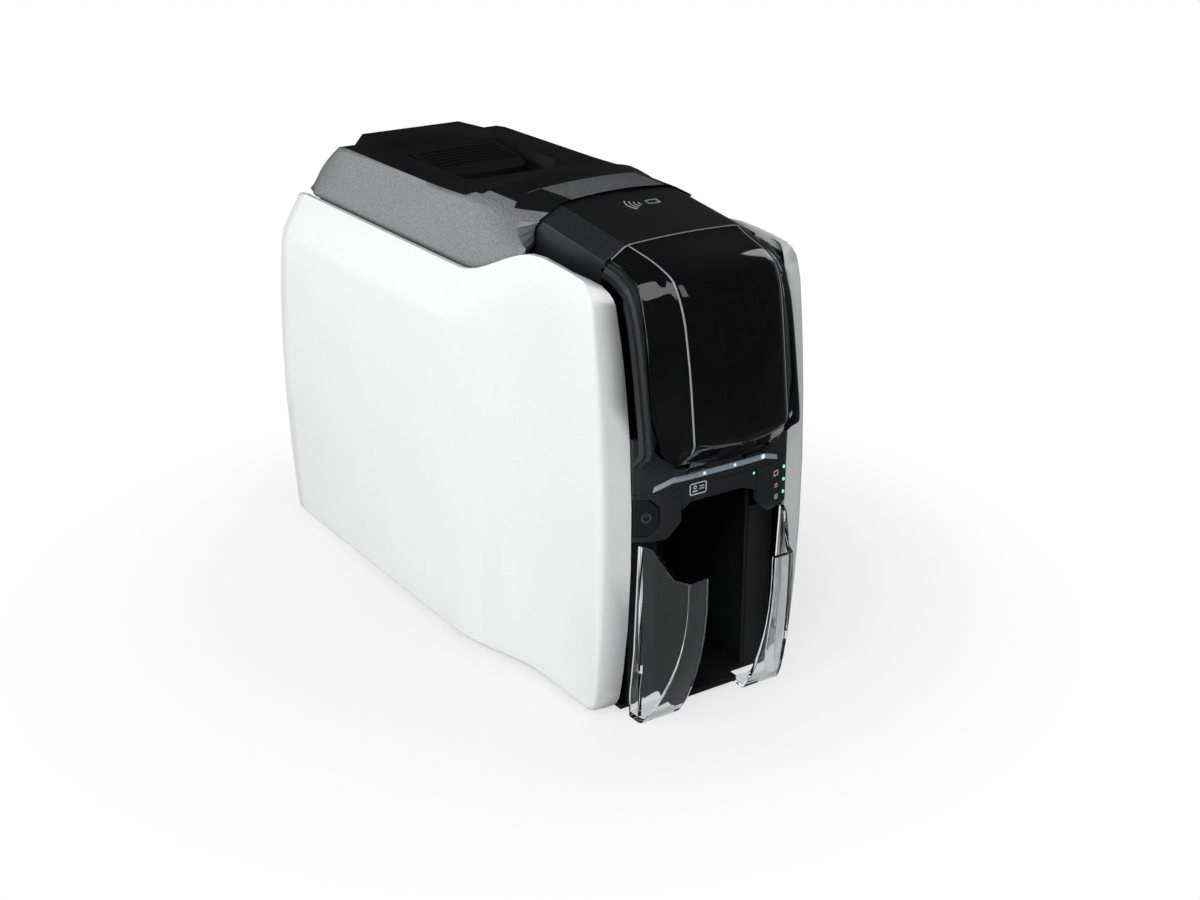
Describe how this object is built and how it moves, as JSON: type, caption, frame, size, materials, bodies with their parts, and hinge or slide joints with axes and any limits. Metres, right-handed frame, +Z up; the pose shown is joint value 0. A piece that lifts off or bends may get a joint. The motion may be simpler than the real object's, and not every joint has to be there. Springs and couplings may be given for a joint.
{
  "type": "id card printer",
  "caption": "Slim desktop id card printer with white side panels, a black hinged top lid with a grip latch, a smoked card feeder door and a clear-cheeked output hopper.",
  "frame": {"origin": "centre of the bounding box at the table, under the rubber feet", "axes": "-Y is the front with the feeder door, +Y the rear with the ports, +X the right side seen from the rear, +Z up"},
  "size_m": [0.154, 0.3845, 0.2605],
  "materials": {
    "black_plastic": "fine texture",
    "charcoal_plastic": "fine texture",
    "inner_black": "matt",
    "white_plastic": "satin gloss",
    "foot_rubber": "matt",
    "frosted_plastic": "frosted",
    "green_lamp": "clear",
    "spring_steel": "bright",
    "clear_plastic": "clear moulded",
    "smoked_plastic": "smoked clear",
    "shaft_steel": "ground",
    "sheet_steel": "zinc plated",
    "roller_rubber": "ground matt",
    "belt_rubber": "matt",
    "motor_case": "satin",
    "white_gear": "moulded",
    "head_aluminium": "anodised",
    "ribbon_roll": "wound film",
    "ribbon_film": "glossy film",
    "brass_gear": "machined",
    "board_green": "solder mask",
    "screw_steel": "plated"
  },
  "bodies": {
    "chassis": {"base_tray": "black_plastic", "rubber_feet": "foot_rubber", "left_side_frame": "black_plastic", "right_side_frame": "black_plastic", "left_panel": "white_plastic", "right_panel": "white_plastic", "rear_cover": "black_plastic", "front_fascia": "charcoal_plastic", "left_front_plate": "charcoal_plastic", "control_panel": "charcoal_plastic", "gate_strip": "charcoal_plastic", "hood": "black_plastic", "light_pipe": "frosted_plastic", "status_lamps": "green_lamp", "button_spring": "spring_steel", "hopper_cheek_left": "clear_plastic", "hopper_cheek_right": "clear_plastic", "output_bin": "inner_black", "feeder_tray": "inner_black", "door_hinge_pins": "shaft_steel", "retainer_shaft": "shaft_steel", "retainer_spring": "spring_steel", "lid_hinge_pins": "shaft_steel", "lid_hinge_bracket": "sheet_steel", "latch_striker": "shaft_steel", "left_mech_plate": "sheet_steel", "right_mech_plate": "sheet_steel", "feed_belt": "belt_rubber", "drive_motor": "motor_case", "motor_belt": "belt_rubber", "ribbon_cartridge": "charcoal_plastic", "ribbon_film": "ribbon_film", "ribbon_motor": "motor_case", "main_board": "board_green", "power_inlet": "inner_black", "usb_port": "shaft_steel", "case_screws": "screw_steel"},
    "lid": {"top_lid": "black_plastic", "head_bracket": "sheet_steel", "print_head": "head_aluminium", "head_springs": "spring_steel", "latch_pin": "shaft_steel", "latch_spring": "spring_steel"},
    "latch": {"latch_paddle": "charcoal_plastic"},
    "door": {"feeder_door": "smoked_plastic"},
    "retainer": {"card_retainer": "charcoal_plastic"},
    "power_key": {"power_button": "charcoal_plastic"},
    "pick": {"pick_roller": "roller_rubber"},
    "front_feed": {"front_feed_roller": "roller_rubber"},
    "front_pinch": {"front_pinch_roller": "roller_rubber"},
    "platen": {"platen_roller": "roller_rubber"},
    "rear_feed": {"rear_feed_roller": "roller_rubber"},
    "rear_pinch": {"rear_pinch_roller": "roller_rubber"},
    "cleaner": {"cleaning_roller": "roller_rubber"},
    "exit": {"exit_roller": "roller_rubber"},
    "motor_shaft": {"motor_pulley": "white_gear"},
    "supply": {"supply_spool": "ribbon_roll"},
    "takeup": {"takeup_spool": "ribbon_roll", "takeup_gear": "white_gear"},
    "pinion": {"ribbon_pinion": "brass_gear"}
  },
  "joints": [
    {"name": "lid_hinge", "type": "hinge", "parent": "chassis", "child": "lid", "pos_m": [0, 0.16175, 0.2155], "axis": [-1, 0, 0], "range_deg": [0, 85]},
    {"name": "latch_pivot", "type": "hinge", "parent": "lid", "child": "latch", "pos_m": [0, 0.09075, 0.2399], "axis": [-1, 0, 0], "range_deg": [0, 20], "stiffness_Nm_per_rad": 0.03, "springref_deg": -22.92},
    {"name": "door_hinge", "type": "hinge", "parent": "chassis", "child": "door", "pos_m": [0, -0.17365, 0.1395], "axis": [1, 0, 0], "range_deg": [0, 75]},
    {"name": "retainer_pivot", "type": "hinge", "parent": "chassis", "child": "retainer", "pos_m": [0, -0.15875, 0.218], "axis": [1, 0, 0], "range_deg": [-20, 35], "stiffness_Nm_per_rad": 0.01},
    {"name": "power_key_press", "type": "slide", "parent": "chassis", "child": "power_key", "axis": [0, 1, 0], "range_m": [0, 0.0015], "stiffness_N_per_m": 400, "springref_m": -0.001},
    {"name": "platen_spin", "type": "hinge", "parent": "chassis", "child": "platen", "pos_m": [0, 0.00325, 0.142], "axis": [1, 0, 0], "continuous": true},
    {"name": "pick_spin", "type": "hinge", "parent": "chassis", "child": "pick", "pos_m": [0, -0.10475, 0.142], "axis": [1, 0, 0], "continuous": true},
    {"name": "front_feed_spin", "type": "hinge", "parent": "chassis", "child": "front_feed", "pos_m": [0, -0.05175, 0.142], "axis": [1, 0, 0], "continuous": true},
    {"name": "rear_feed_spin", "type": "hinge", "parent": "chassis", "child": "rear_feed", "pos_m": [0, 0.06925, 0.142], "axis": [1, 0, 0], "continuous": true},
    {"name": "front_pinch_spin", "type": "hinge", "parent": "chassis", "child": "front_pinch", "pos_m": [0, -0.05175, 0.1558], "axis": [1, 0, 0], "continuous": true},
    {"name": "rear_pinch_spin", "type": "hinge", "parent": "chassis", "child": "rear_pinch", "pos_m": [0, 0.06925, 0.1558], "axis": [1, 0, 0], "continuous": true},
    {"name": "cleaner_spin", "type": "hinge", "parent": "chassis", "child": "cleaner", "pos_m": [0, -0.06625, 0.1558], "axis": [1, 0, 0], "continuous": true},
    {"name": "exit_spin", "type": "hinge", "parent": "chassis", "child": "exit", "pos_m": [0, -0.07475, 0.118], "axis": [1, 0, 0], "continuous": true},
    {"name": "motor_spin", "type": "hinge", "parent": "chassis", "child": "motor_shaft", "pos_m": [0, 0.02925, 0.112], "axis": [1, 0, 0], "continuous": true},
    {"name": "takeup_spin", "type": "hinge", "parent": "chassis", "child": "takeup", "pos_m": [0, -0.04075, 0.186], "axis": [1, 0, 0], "continuous": true},
    {"name": "supply_spin", "type": "hinge", "parent": "chassis", "child": "supply", "pos_m": [0, 0.04925, 0.186], "axis": [1, 0, 0], "continuous": true},
    {"name": "pinion_spin", "type": "hinge", "parent": "chassis", "child": "pinion", "pos_m": [0, -0.02075, 0.186], "axis": [1, 0, 0], "continuous": true}
  ],
  "couplings": [
    {"joint": "pick_spin", "follows": "platen_spin", "ratio": 1},
    {"joint": "front_feed_spin", "follows": "platen_spin", "ratio": 1},
    {"joint": "rear_feed_spin", "follows": "platen_spin", "ratio": 1},
    {"joint": "front_pinch_spin", "follows": "platen_spin", "ratio": -1.6383},
    {"joint": "rear_pinch_spin", "follows": "platen_spin", "ratio": -1.6383},
    {"joint": "cleaner_spin", "follows": "platen_spin", "ratio": -1.6383},
    {"joint": "exit_spin", "follows": "platen_spin", "ratio": -1.6383},
    {"joint": "motor_spin", "follows": "platen_spin", "ratio": 2},
    {"joint": "supply_spin", "follows": "takeup_spin", "ratio": 0.7},
    {"joint": "pinion_spin", "follows": "takeup_spin", "ratio": -2.3333}
  ]
}
